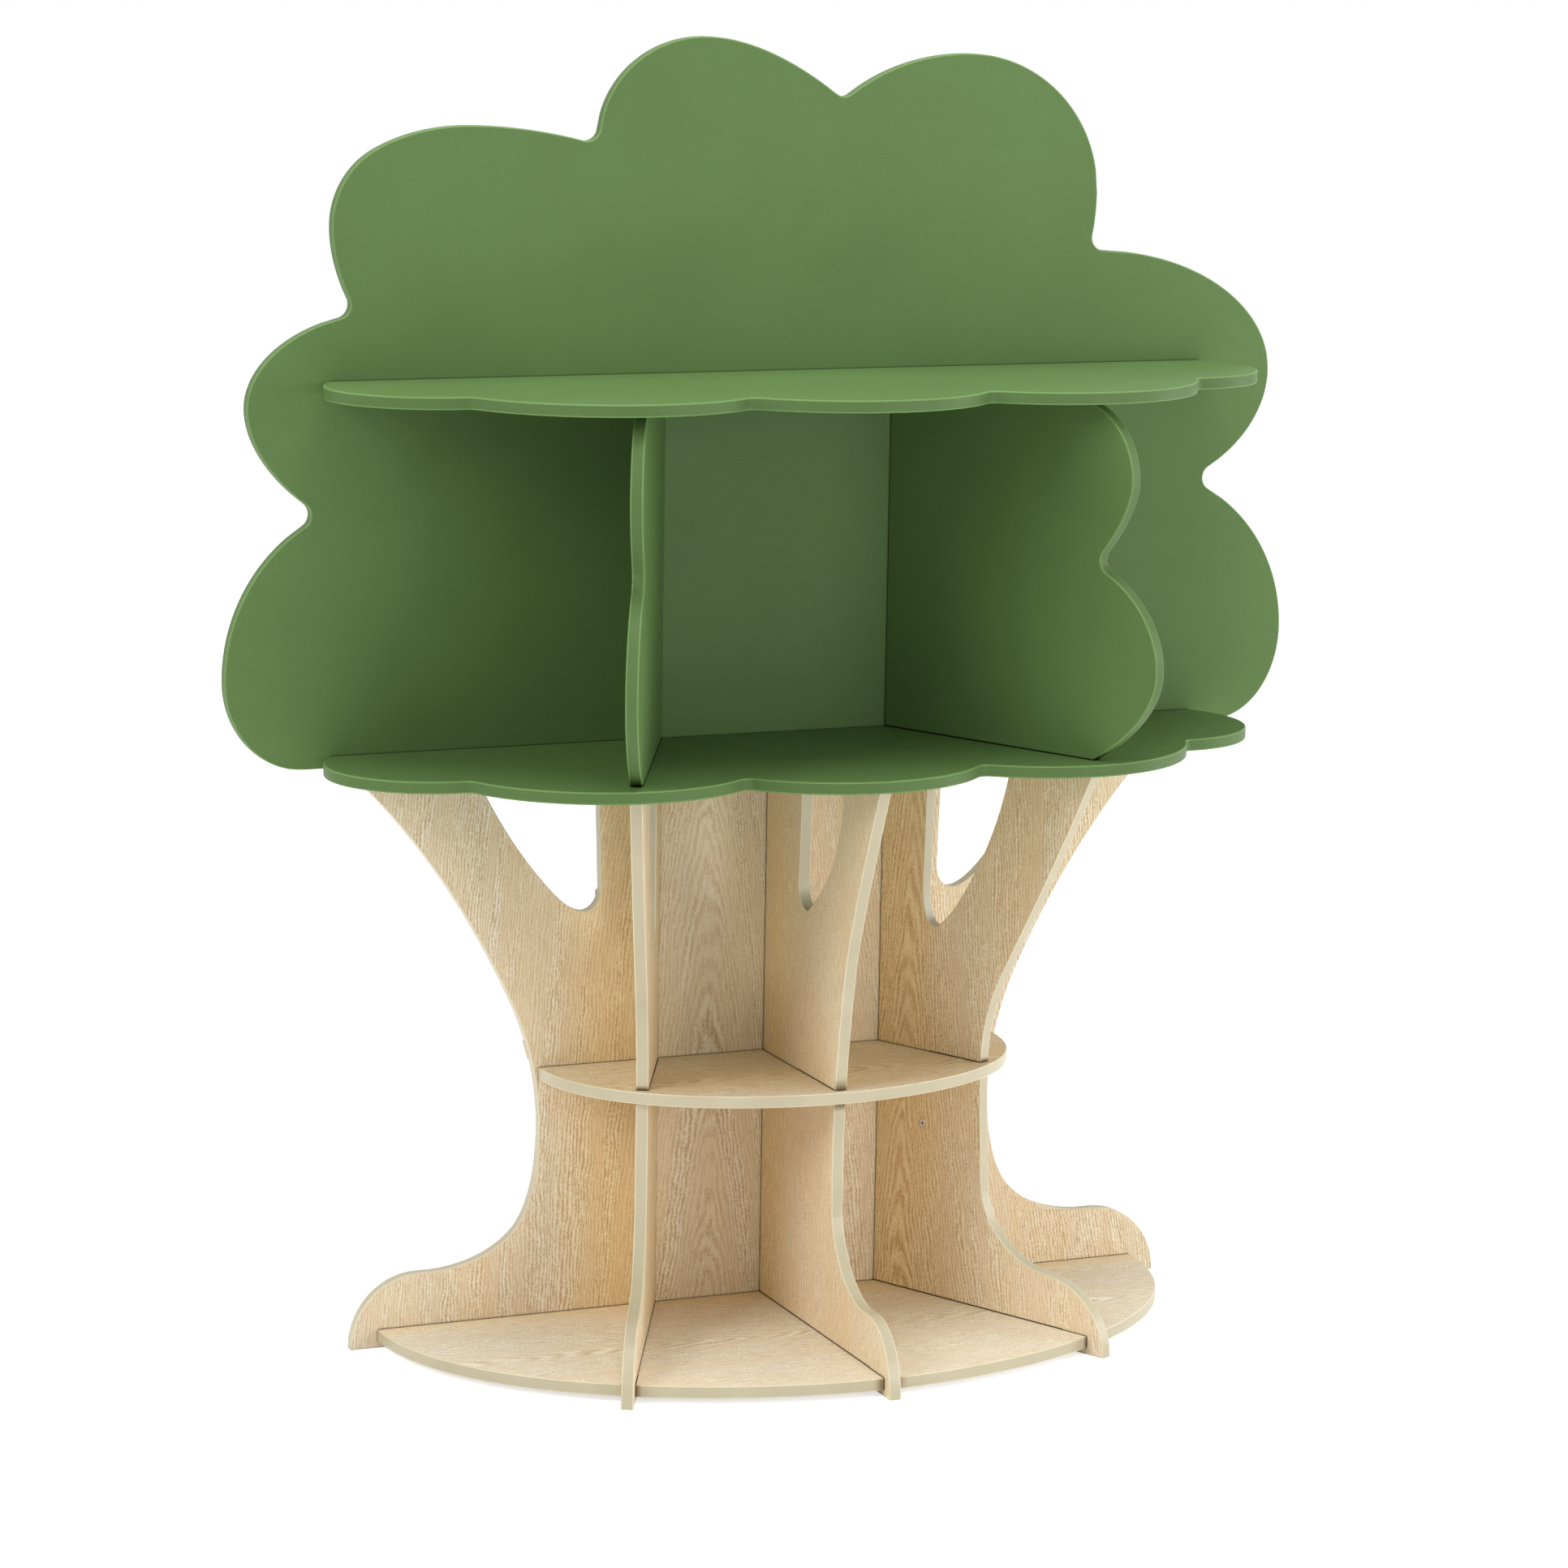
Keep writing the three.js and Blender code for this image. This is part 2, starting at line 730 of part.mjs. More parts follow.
screwShelf('upper_shelf_screw', spread(5, rearHalf), upperCrownShelfTop, [crownPanel, upperCrownShelf]);
screwShelf('lower_shelf_screw', spread(5, rearHalf), lowerCrownShelfTop, [crownPanel, lowerCrownShelf]);
screwShelf('base_shelf_screw', spread(4, baseShelfHalfWidth), baseShelfTop, [trunkPanel, baseShelf]);

// The middle shelf's screws lie between its slots.
const betweenFins = finSpacing / 2;
const besideFins = (finSpacing + midShelfHalfWidth) / 2;
const midPlaces = [-besideFins, -betweenFins, betweenFins, besideFins];
screwShelf('mid_shelf_screw', midPlaces, midShelfTop, [trunkPanel, midShelf]);

// The centre fin also takes screws below and above the middle shelf.
const finScrewShares = [0.16, 0.75];
const centreFinMesh = boards.find((mesh) => mesh.name === 'trunk_fin_centre');
finScrewShares.forEach((share, at) => {
  const spot = [0, board - headSink, share * trunkTop];
  fasten(bookcase, `centre_fin_screw_${at + 1}`, screw, spot, facingBack, [trunkPanel, centreFinMesh]);
});

bookcase.updateMatrixWorld(true);
for (const target of [...boards, ...nuts]) {
  carve(target);
}
for (const { cutter } of cutters) {
  cutter.removeFromParent();
}

export default bookcase;
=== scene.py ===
import math

import bmesh
import bpy
from mathutils import Matrix, Vector
from mathutils.bvhtree import BVHTree


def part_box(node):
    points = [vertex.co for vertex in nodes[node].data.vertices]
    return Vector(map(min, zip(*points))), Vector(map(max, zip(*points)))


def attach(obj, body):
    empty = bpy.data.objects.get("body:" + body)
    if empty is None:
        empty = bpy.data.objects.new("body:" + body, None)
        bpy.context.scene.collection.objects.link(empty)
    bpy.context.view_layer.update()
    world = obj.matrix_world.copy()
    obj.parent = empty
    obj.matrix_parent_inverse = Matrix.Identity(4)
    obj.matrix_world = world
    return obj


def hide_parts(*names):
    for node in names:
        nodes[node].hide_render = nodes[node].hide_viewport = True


# A tree shaped bookcase: a green lobed crown with shelves and splayed dividers, on a pale oak trunk
# of fins, half-round shelves and root feet. Metres, X to the right, Y to the wall, Z up.

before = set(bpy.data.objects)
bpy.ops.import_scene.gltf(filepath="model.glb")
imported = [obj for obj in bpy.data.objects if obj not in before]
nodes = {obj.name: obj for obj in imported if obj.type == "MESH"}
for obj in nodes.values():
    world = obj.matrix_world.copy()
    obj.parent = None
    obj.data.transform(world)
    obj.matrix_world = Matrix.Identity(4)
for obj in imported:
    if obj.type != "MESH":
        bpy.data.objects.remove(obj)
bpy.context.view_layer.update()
scene = bpy.context.scene

across = Vector((1, 0, 0))
back = Vector((0, 1, 0))
up = Vector((0, 0, 1))
splayAngle = math.radians(25)  # fins and dividers open outwards by this much


# The camera, at the photograph's own viewpoint.
cameraLook = {
    "place": (-1.8648, -4.3003, 1.4215),
    "yaw": 22.836,      # degrees to the right of straight at the wall
    "pitch": 10.393,    # degrees down
    "roll": -0.947,
    "lens": 114.5,
    "sensor": 36,
    "sight": 50,
}


def placeCamera(look):
    yaw, pitch, roll = (math.radians(look[key]) for key in ("yaw", "pitch", "roll"))
    run = math.cos(pitch)
    ahead = Vector((math.sin(yaw) * run, math.cos(yaw) * run, -math.sin(pitch)))
    sideways = Vector((math.cos(yaw), -math.sin(yaw), 0))
    down = ahead.cross(sideways)
    right = math.cos(roll) * sideways + math.sin(roll) * down
    top = math.sin(roll) * sideways - math.cos(roll) * down
    data = bpy.data.cameras.new("photoCamera")
    data.lens = look["lens"]
    data.sensor_width = look["sensor"]
    data.clip_end = look["sight"]
    camera = bpy.data.objects.new("photoCamera", data)
    turn = Matrix((right, top, -ahead)).transposed().to_4x4()
    camera.matrix_world = Matrix.Translation(look["place"]) @ turn
    scene.collection.objects.link(camera)
    scene.camera = camera


placeCamera(cameraLook)
print("camera placed")


# Shader tools. A socket is fed a value or another node's socket.
def feed(tree, socket, value):
    if isinstance(value, bpy.types.NodeSocket):
        tree.links.new(value, socket)
    else:
        socket.default_value = value


# The settings are the node's own; the sockets are given by name, or as i and their number.
def addNode(tree, kind, settings=None, **sockets):
    made = tree.nodes.new(kind)
    for key, value in (settings or {}).items():
        setattr(made, key, value)
    for key, value in sockets.items():
        feed(tree, made.inputs[int(key[1:]) if key[1:].isdigit() else key], value)
    return made


def reckon(tree, operation, first, second=0.0, third=0.0):
    settings = {"operation": operation}
    return addNode(tree, "ShaderNodeMath", settings, i0=first, i1=second, i2=third).outputs[0]


def reckonVector(tree, operation, first, second, third=(0, 0, 0)):
    settings = {"operation": operation}
    return addNode(tree, "ShaderNodeVectorMath", settings, i0=first, i1=second, i2=third).outputs[0]


def stretch(tree, vector, scale):
    return reckonVector(tree, "MULTIPLY", vector, scale)


def join(tree, x, y, z):
    return addNode(tree, "ShaderNodeCombineXYZ", None, X=x, Y=y, Z=z).outputs[0]


def noise(tree, vector, scale, detail):
    made = addNode(tree, "ShaderNodeTexNoise", None, Vector=vector, Scale=scale, Detail=detail)
    return made.outputs[0]


# Pushes a pattern's points about: how close the pushes are along each axis, and how far they go.
def jitter(tree, vector, scale, reach):
    place = stretch(tree, vector, scale)
    cloud = addNode(tree, "ShaderNodeTexNoise", None, Vector=place, Scale=1.0, Detail=1.0)
    centred = reckonVector(tree, "SUBTRACT", cloud.outputs[1], (0.5, 0.5, 0.5))
    return reckonVector(tree, "MULTIPLY_ADD", centred, reach, vector)


noiseSpan = (0.3, 0.7)  # nearly all of a noise lies between these


def level(tree, factor, span=noiseSpan, ends=(0.0, 1.0)):
    made = addNode(tree, "ShaderNodeMapRange", None, Value=factor)
    for key, value in zip(("From Min", "From Max", "To Min", "To Max"), (*span, *ends)):
        made.inputs[key].default_value = value
    return made.outputs[0]


def blendColor(tree, factor, first, second, way="MIX"):
    made = addNode(tree, "ShaderNodeMix", {"data_type": "RGBA", "blend_type": way})
    for key, value in (("Factor_Float", factor), ("A_Color", first), ("B_Color", second)):
        socket = next(s for s in made.inputs if s.identifier == key)
        feed(tree, socket, (*value, 1) if isinstance(value, tuple) else value)
    return next(s for s in made.outputs if s.identifier == "Result_Color")


palest = 0.9  # no finish gives back more of a colour


def shaded(color, shade):
    return tuple(min(part * shade, palest) for part in color)


def startMaterial(name):
    material = bpy.data.materials.new(name)
    material.use_nodes = True
    tree = material.node_tree
    shader = tree.nodes["Principled BSDF"]
    spot = addNode(tree, "ShaderNodeTexCoord").outputs["Object"]
    return material, tree, shader, spot


def addBump(tree, shader, height, strength, depth):
    bump = addNode(tree, "ShaderNodeBump", None, Height=height, Strength=strength, Distance=depth)
    feed(tree, shader.inputs["Normal"], bump.outputs["Normal"])


# Painted crevice shade: colours darken in the narrow crevices where boards meet, by how closed in
# a spot is. It stands for the shade there, and for the glue and dust of the joints.
creviceShadeLook = {
    "samples": 4,
    "openness": (0.48, 0.88),  # wholly dark below the first, clear above the second
}


# Paints shade into a colour where neighbouring surfaces close in.
def addPaintedCreviceShade(tree, color, dark, reach):
    settings = {"samples": creviceShadeLook["samples"]}
    nearness = addNode(tree, "ShaderNodeAmbientOcclusion", settings, Distance=reach).outputs["AO"]
    return blendColor(tree, level(tree, nearness, creviceShadeLook["openness"]), dark, color)


# Green satin lacquer, sprayed: a faint cloudiness, fine orange peel and a slight speckle. Its
# finishes are lit and shaded copies: darker on the boards' edges and in seams, as painted shade,
# and paler on their arrises, as a painted highlight. Each noise has a scale and a detail.
lacquerLook = {
    "light": (0.112, 0.197, 0.0625),
    "dark": (0.101, 0.178, 0.0555),
    "shades": {"greenFace": 1.0, "greenEdgePaintedShade": 0.84, "greenArrisPaintedHighlight": 1.4, "greenSeamPaintedShade": 0.8},
    "creviceShade": (0.008, 0.016, 0.005),
    "creviceShadeReach": 0.0018,
    "cloud": (6.0, 3.0),
    "speckle": (900.0, 1.0),
    "speckleSpan": (0.25, 0.75),
    "speckleShades": (0.93, 1.07),
    "sheen": (60.0, 3.0),
    "roughness": (0.44, 0.50),
    "gloss": 0.14,
    "peel": (420.0, 2.0),
    "peelStrength": 0.5,
    "peelDepth": 0.00005,
}


def makeLacquer(name, look):
    material, tree, shader, spot = startMaterial(name)
    # each finish is a lit or shaded copy of the paint: painted shade on edges and seams, a painted
    # highlight on arrises
    ends = [shaded(look[key], look["shades"][name]) for key in ("dark", "light")]
    color = blendColor(tree, level(tree, noise(tree, spot, *look["cloud"])), *ends)
    speckle = noise(tree, spot, *look["speckle"])
    speckle = level(tree, speckle, look["speckleSpan"], look["speckleShades"])
    color = blendColor(tree, 1.0, color, join(tree, speckle, speckle, speckle), "MULTIPLY")
    # painted crevice shade where boards meet
    color = addPaintedCreviceShade(tree, color, look["creviceShade"], look["creviceShadeReach"])
    sheen = level(tree, noise(tree, spot, *look["sheen"]), ends=look["roughness"])
    feed(tree, shader.inputs["Base Color"], color)
    feed(tree, shader.inputs["Roughness"], sheen)
    feed(tree, shader.inputs["Specular IOR Level"], look["gloss"])
    addBump(tree, shader, noise(tree, spot, *look["peel"]), look["peelStrength"], look["peelDepth"])
    return material


# Pale oak foil, embossed. The pattern's own z runs along the grain and its x across it; its arches
# stand on the heart, one in another, and run out into wavy lines beside it. Scales are given across
# the grain and along it, and spans are the stretch of a noise that is used.
oakLook = {
    "pale": (0.810, 0.680, 0.465),
    "warm": (0.790, 0.610, 0.370),
    "toneScale": (11.0, 1.3),
    "toneSpan": (0.35, 0.65),
    "pink": (0.790, 0.650, 0.480),
    "pinkScale": (26.0, 4.0),
    "pinkSpan": (0.45, 0.70),
    "pinkMost": 0.8,
    "paintedLightPale": (0.830, 0.750, 0.620),
    "amber": (0.830, 0.630, 0.335),
    "amberCore": 0.2,                # the share of its reach in which the amber is full
    "amberMost": 0.7,
    "smooth": (0.96, 0.93, 0.89),    # the foil between the porous zones
    "groove": (0.74, 0.65, 0.55),
    "grooveSpan": (0.50, 0.32),
    "crest": (1.13, 1.28, 1.46),
    "crestSpan": (0.50, 0.68),
    "creviceShade": (0.050, 0.026, 0.010),
    "creviceShadeReach": 0.0018,
    "sway": ((3.0, 3.0, 1.6), (0.09, 0.0, 0.25)),          # slow bends: scale and reach by axis
    "tremble": ((45.0, 45.0, 42.0), (0.005, 0.0, 0.0)),    # quick ones
    "depthScale": 10.0,              # how soon the pattern changes through the board
    "archWidth": 0.018,
    "archDraw": 0.11,                # how far each line leans out from the heart
    "lineStep": 0.0034,
    "lineShare": 0.11,
    "breakScale": (80.0, 16.0),
    "breakShift": 11.0,              # how far a break shifts the lines, in radians
    "markScale": (800.0, 60.0),
    "stippleScale": (560.0, 400.0),
    "speckShare": 0.5,               # of the marks and the stipple in the relief
    "zoneScale": (75.0, 3.0),
    "zoneSpan": (0.38, 0.56),
    "zoneLeast": 0.45,               # how much relief the smooth foil keeps
    "embossStrength": 0.5,
    "embossDepth": 0.00035,
    "reliefSpan": (0.35, 0.65),
    "roughness": (0.52, 0.64),
    "gloss": 0.3,
}


def makeOak(name, look, grainAcross, grainAlong, foil):
    material, tree, shader, spot = startMaterial(name)
    through = grainAlong.cross(grainAcross)
    mapping = addNode(tree, "ShaderNodeMapping", {"vector_type": "POINT"}, Vector=spot)
    mapping.inputs["Rotation"].default_value = Matrix((grainAcross, through, grainAlong)).to_euler()
    mapping.inputs["Location"].default_value = foil["heart"]
    wavy = jitter(tree, mapping.outputs[0], *look["sway"])
    wavy = jitter(tree, wavy, *look["tremble"])
    x, y, z = addNode(tree, "ShaderNodeSeparateXYZ", None, Vector=wavy).outputs
    depth = reckon(tree, "MULTIPLY", y, look["depthScale"])

    # arches: hyperbolas round the heart, drawn out along the grain
    ring = reckon(tree, "ADD", reckon(tree, "MULTIPLY", x, x), look["archWidth"] ** 2)
    ring = reckon(tree, "SQRT", ring)
    ring = reckon(tree, "ADD", ring, reckon(tree, "MULTIPLY", z, look["archDraw"]))

    def streaks(side, scales, detail=1.0):
        sideways = reckon(tree, "MULTIPLY", side, scales[0])
        lengthways = reckon(tree, "MULTIPLY", z, scales[1])
        return noise(tree, join(tree, sideways, depth, lengthways), 1.0, detail)

    # fine lines that follow the arches, broken into marks
    phase = reckon(tree, "MULTIPLY", ring, 2 * math.pi / look["lineStep"])
    shift = reckon(tree, "MULTIPLY", streaks(x, look["breakScale"], 0.0), look["breakShift"])
    phase = reckon(tree, "ADD", phase, shift)
    lines = reckon(tree, "MULTIPLY", reckon(tree, "SINE", phase), look["lineShare"])
    marks = streaks(x, look["markScale"])
    specks = reckon(tree, "ADD", marks, streaks(x, look["stippleScale"]))
    relief = reckon(tree, "MULTIPLY_ADD", specks, look["speckShare"], lines)
    porous = streaks(ring, look["zoneScale"])
    porous = level(tree, porous, look["zoneSpan"], (look["zoneLeast"], 1.0))
    crests = reckon(tree, "MULTIPLY", level(tree, relief, look["crestSpan"]), porous)
    grooves = reckon(tree, "MULTIPLY", level(tree, relief, look["grooveSpan"]), porous)

    tone = level(tree, streaks(x, look["toneScale"]), look["toneSpan"])
    color = blendColor(tree, tone, look["warm"], look["pale"])
    blush = level(tree, streaks(x, look["pinkScale"]), look["pinkSpan"], (0.0, look["pinkMost"]))
    color = blendColor(tree, blush, color, look["pink"])
    # painted light: each board is washed paler by its own share, as where light falls strongest
    color = blendColor(tree, foil["paintedLightShare"], color, look["paintedLightPale"])
    # a warmer stripe, painted warm bounce light
    middle, reach = foil["amber"]
    aside = reckon(tree, "ABSOLUTE", reckon(tree, "SUBTRACT", x, middle))
    stripe = level(tree, aside, (reach, reach * look["amberCore"]), (0.0, look["amberMost"]))
    color = blendColor(tree, stripe, color, look["amber"])
    plain = (1.0, 1.0, 1.0)
    # the foil's printed lines, paler on the embossed crests and darker in the grooves, partly as a
    # painted highlight and painted shade
    for mask, ends in (
        (porous, (look["smooth"], plain)),
        (grooves, (plain, look["groove"])),
        (crests, (plain, look["crest"])),
    ):
        color = blendColor(tree, 1.0, color, blendColor(tree, mask, *ends), "MULTIPLY")
    # painted crevice shade where boards meet
    color = addPaintedCreviceShade(tree, color, look["creviceShade"], look["creviceShadeReach"])
    feed(tree, shader.inputs["Base Color"], color)
    sheen = level(tree, relief, look["reliefSpan"], look["roughness"])
    feed(tree, shader.inputs["Roughness"], sheen)
    feed(tree, shader.inputs["Specular IOR Level"], look["gloss"])
    height = reckon(tree, "SUBTRACT", crests, grooves)
    addBump(tree, shader, height, look["embossStrength"], look["embossDepth"])
    return material


# Cream plastic edge band: faintly clouded and finely speckled. Its arrises are paler, as a painted
# highlight, and its seams darker, as painted shade.
bandLook = {
    "pale": (0.535, 0.475, 0.325),
    "deep": (0.480, 0.425, 0.285),
    "shades": {"creamBand": 1.0, "creamArrisPaintedHighlight": 1.4, "creamSeamPaintedShade": 0.8},
    "creviceShade": (0.060, 0.038, 0.018),
    "creviceShadeReach": {"creamBand": 0.0005, "creamArrisPaintedHighlight": 0.0005, "creamSeamPaintedShade": 0.0014},
    "cloud": (18.0, 3.0),
    "speck": (900.0, 2.0),
    "speckStrength": 0.4,
    "speckDepth": 0.00004,
    "roughness": (0.30, 0.42),
}


def makeBand(name, look):
    material, tree, shader, spot = startMaterial(name)
    # the arris finish is paler, a painted highlight, and the seam's darker, painted shade
    ends = [shaded(look[key], look["shades"][name]) for key in ("deep", "pale")]
    color = blendColor(tree, level(tree, noise(tree, spot, *look["cloud"])), *ends)
    # painted crevice shade where boards meet
    color = addPaintedCreviceShade(tree, color, look["creviceShade"], look["creviceShadeReach"][name])
    speck = noise(tree, spot, *look["speck"])
    feed(tree, shader.inputs["Base Color"], color)
    feed(tree, shader.inputs["Roughness"], level(tree, speck, ends=look["roughness"]))
    addBump(tree, shader, speck, look["speckStrength"], look["speckDepth"])
    return material


# Raw beech for the dowels: short dark flecks on a warm ground.
beechLook = {
    "pale": (0.700, 0.500, 0.290),
    "deep": (0.560, 0.360, 0.180),
    "fibreScale": (500.0, 500.0, 40.0),
    "fibreDetail": 3.0,
    "fibreStrength": 0.4,
    "fibreDepth": 0.0001,
    "fleck": (0.300, 0.160, 0.070),
    "fleckScale": (900.0, 900.0, 120.0),
    "fleckDetail": 1.0,
    "fleckSpan": (0.66, 0.72),
    "roughness": 0.7,
}


def makeBeech(look):
    material, tree, shader, spot = startMaterial("rawBeech")
    fibre = noise(tree, stretch(tree, spot, look["fibreScale"]), 1.0, look["fibreDetail"])
    color = blendColor(tree, level(tree, fibre), look["deep"], look["pale"])
    fleck = noise(tree, stretch(tree, spot, look["fleckScale"]), 1.0, look["fleckDetail"])
    color = blendColor(tree, level(tree, fleck, look["fleckSpan"]), color, look["fleck"])
    feed(tree, shader.inputs["Base Color"], color)
    feed(tree, shader.inputs["Roughness"], look["roughness"])
    addBump(tree, shader, fibre, look["fibreStrength"], look["fibreDepth"])
    return material


# Zinc plated steel: bright, slightly blue, with spangle and fine scratches. The barrel nuts are
# paler and duller, as cast and tumbled metal is.
zincLook = {
    "pale": (0.700, 0.720, 0.750),
    "deep": (0.520, 0.540, 0.580),
    "creviceShade": (0.020, 0.018, 0.016),
    "roughness": (0.24, 0.42),
    "metallic": 1.0,
}
nickelLook = {
    "pale": (0.900, 0.860, 0.820),
    "deep": (0.800, 0.760, 0.720),
    "creviceShade": (0.010, 0.009, 0.008),
    "roughness": (0.45, 0.60),
    "metallic": 0.4,
}
metalGrain = {
    "creviceShadeReach": 0.0015,
    "spangleScale": 700.0,
    "spangleSpan": (0.1, 0.8),
    "scratch": (2600.0, 2.0),
    "scratchStrength": 0.3,
    "scratchDepth": 0.00002,
}


def makeMetal(name, look, grain):
    material, tree, shader, spot = startMaterial(name)
    spangle = addNode(tree, "ShaderNodeTexVoronoi", None, Vector=spot, Scale=grain["spangleScale"])
    spangle = level(tree, spangle.outputs["Distance"], grain["spangleSpan"])
    color = blendColor(tree, spangle, look["pale"], look["deep"])
    # painted crevice shade in the hollows
    color = addPaintedCreviceShade(tree, color, look["creviceShade"], grain["creviceShadeReach"])
    scratch = noise(tree, spot, *grain["scratch"])
    feed(tree, shader.inputs["Base Color"], color)
    feed(tree, shader.inputs["Metallic"], look["metallic"])
    feed(tree, shader.inputs["Roughness"], level(tree, scratch, ends=look["roughness"]))
    addBump(tree, shader, scratch, grain["scratchStrength"], grain["scratchDepth"])
    return material


lacquer = [makeLacquer(name, lacquerLook) for name in lacquerLook["shades"]]
band = [makeBand(name, bandLook) for name in bandLook["shades"]]
beech = makeBeech(beechLook)
zinc = makeMetal("zincSteel", zincLook, metalGrain)
nickel = makeMetal("nickelNut", nickelLook, metalGrain)
print("plain materials made")


# Boards. Each is the CAD solid, merged, with finer curves and rounded arrises, and with its own
# finish on faces, edges and arrises. Angles are in degrees.
boardLook = {
    "mergeReach": 0.00001,
    "flatTurn": 0.5,       # faces that turn by less are one face
    "flatness": 0.999,     # how squarely a broad face has to look along the board's own axis
    "curveRounds": 2,      # each round halves the steps along a curved edge
    "sharpTurn": 24.0,     # a corner above this stays a corner
    "leastTurn": 0.2865,   # an edge that turns by less is straight
    "longestStep": 3,      # times its neighbours: a longer edge is straight too
    "seamReach": 0.0006,   # a neighbour nearer than this to the square arris is met
    "holeSpan": 0.04,      # smaller openings are screw and dowel holes and stay sharp
    "shadeTurn": 32.0,
    "shadeWeight": 90,
}
# The arris finish is a painted highlight and the seam finish painted shade; the green boards' edge
# finish is painted shade too.
onFace, onEdge, onArris, inSeam = range(4)  # the order of a board's finishes
fastenerWords = ("screw", "bolt", "nut", "dowel")
boardNames = [name for name in nodes if not any(word in name for word in fastenerWords)]


def mergedForm(node):
    form = bmesh.new()
    form.from_mesh(nodes[node].data)
    bmesh.ops.remove_doubles(form, verts=form.verts, dist=boardLook["mergeReach"])
    turn = math.radians(boardLook["flatTurn"])
    bmesh.ops.dissolve_limit(form, angle_limit=turn, verts=form.verts, edges=form.edges)
    return form


def surfaceTree(node):
    form = mergedForm(node)
    bmesh.ops.triangulate(form, faces=form.faces)
    made = BVHTree.FromBMesh(form)
    form.free()
    return made


surfaces = {name: surfaceTree(name) for name in boardNames}


# Through is the way across a board's thickness.
def isFlat(face, through):
    return abs(face.normal.dot(through)) > boardLook["flatness"]


# The edges between a broad face and a narrow one.
def arrises(form, through):
    for edge in form.edges:
        sides = [isFlat(face, through) for face in edge.link_faces]
        if len(sides) == 2 and sides[0] != sides[1]:
            yield edge


# Groups of edges that hang together.
def chains(edges):
    left = set(edges)
    while left:
        group = {left.pop()}
        front = list(group)
        while front:
            for vert in front.pop().verts:
                for edge in vert.link_edges:
                    if edge in left:
                        left.discard(edge)
                        group.add(edge)
                        front.append(edge)
        yield group


def spread(edges):
    points = [vert.co for edge in edges for vert in edge.verts]
    return (Vector(map(max, *points)) - Vector(map(min, *points))).length


# The arrises of the board's outline and of its windows, without those of its screw holes.
def outlineArrises(form, through):
    chosen = set()
    for group in chains(arrises(form, through)):
        if spread(group) > boardLook["holeSpan"]:
            chosen |= group
    return [edge for edge in form.edges if edge in chosen]


def turnBetween(start, end, through):
    return math.atan2(start.cross(end).dot(through), start.dot(end))


def placeKey(place):
    return tuple(round(part, 6) for part in place)  # to the micrometre


def nextAlong(vert, edge, known):
    links = [link for link in vert.link_edges if link in known and link is not edge]
    return [link.other_vert(vert) for link in links]


# Halves the steps of the outline's curves. Each new corner is lifted onto the arc through its
# neighbours, and kept inside the board's own box.
def refineCurves(form, through, low, high):
    edges = outlineArrises(form, through)
    known = set(edges)
    sharp, least = (math.radians(boardLook[key]) for key in ("sharpTurn", "leastTurn"))
    chosen, lifts = [], {}
    for edge in edges:
        first, second = edge.verts
        before, after = nextAlong(first, edge, known), nextAlong(second, edge, known)
        if len(before) != 1 or len(after) != 1:
            continue
        arriving = first.co - before[0].co
        way = second.co - first.co
        leaving = after[0].co - second.co
        turns = [turnBetween(arriving, way, through), turnBetween(way, leaving, through)]
        sizes = [abs(turn) for turn in turns]
        longest = boardLook["longestStep"] * min(arriving.length, leaving.length)
        if max(sizes) > sharp or min(sizes) < least or way.length > longest:
            continue
        if turns[0] * turns[1] < 0:
            continue
        lift = way.length / 2 * math.tan(sum(turns) / 8)  # the arc's height, by the mean turn
        chosen.append(edge)
        lifts[placeKey((first.co + second.co) / 2)] = way.normalized().cross(through) * lift
    made = bmesh.ops.subdivide_edges(form, edges=chosen, cuts=1, use_grid_fill=False)
    for vert in made["geom_inner"]:
        lift = lifts.get(placeKey(vert.co)) if isinstance(vert, bmesh.types.BMVert) else None
        if lift:
            moved = vert.co + lift
            vert.co = [min(max(moved[axis], low[axis]), high[axis]) for axis in range(3)]


# Rounds the outline's arrises and gives them the arris finish, a painted highlight. A stretch
# that lies against another board gets the seam's finish, painted shade.
def roundArrises(form, through, others, look):
    made = bmesh.ops.bevel(form, geom=outlineArrises(form, through), offset=look["round"],
                           offset_type="OFFSET", segments=look["segments"], profile=0.5,
                           affect="EDGES", clamp_overlap=False, material=-1)
    reach = look["round"] + boardLook["seamReach"]
    for face in made["faces"]:
        middle = face.calc_center_median()
        hidden = any(other.find_nearest(middle, reach)[0] is not None for other in others)
        face.material_index = inSeam if hidden else onArris


# A board that is another's mirror image can take its form from that one.
def dressBoard(name, node, through, look, finishes, twin=None):
    form = mergedForm(twin or node)
    if twin:
        bmesh.ops.scale(form, vec=(-1, 1, 1), verts=form.verts)
        bmesh.ops.reverse_faces(form, faces=form.faces)
    low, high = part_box(node)
    for _ in range(boardLook["curveRounds"]):
        refineCurves(form, through, low, high)
    for face in form.faces:
        face.smooth = True
        face.material_index = onFace if isFlat(face, through) else onEdge
    others = [surfaces[other] for other in boardNames if other != node]
    roundArrises(form, through, others, look)
    mesh = bpy.data.meshes.new(name)
    form.to_mesh(mesh)
    form.free()
    mesh.set_sharp_from_angle(angle=math.radians(boardLook["shadeTurn"]))
    for finish in finishes:
        mesh.materials.append(finish)
    piece = bpy.data.objects.new(name, mesh)
    scene.collection.objects.link(piece)
    even = piece.modifiers.new("evenShading", "WEIGHTED_NORMAL")
    even.keep_sharp = True
    even.weight = boardLook["shadeWeight"]
    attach(piece, "root")
    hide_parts(node)
    return piece


# Which way a fin or divider runs from the panel, and which way its broad face looks.
def outwards(side):
    return Vector((side * math.sin(splayAngle), -math.cos(splayAngle), 0)) if side else -back


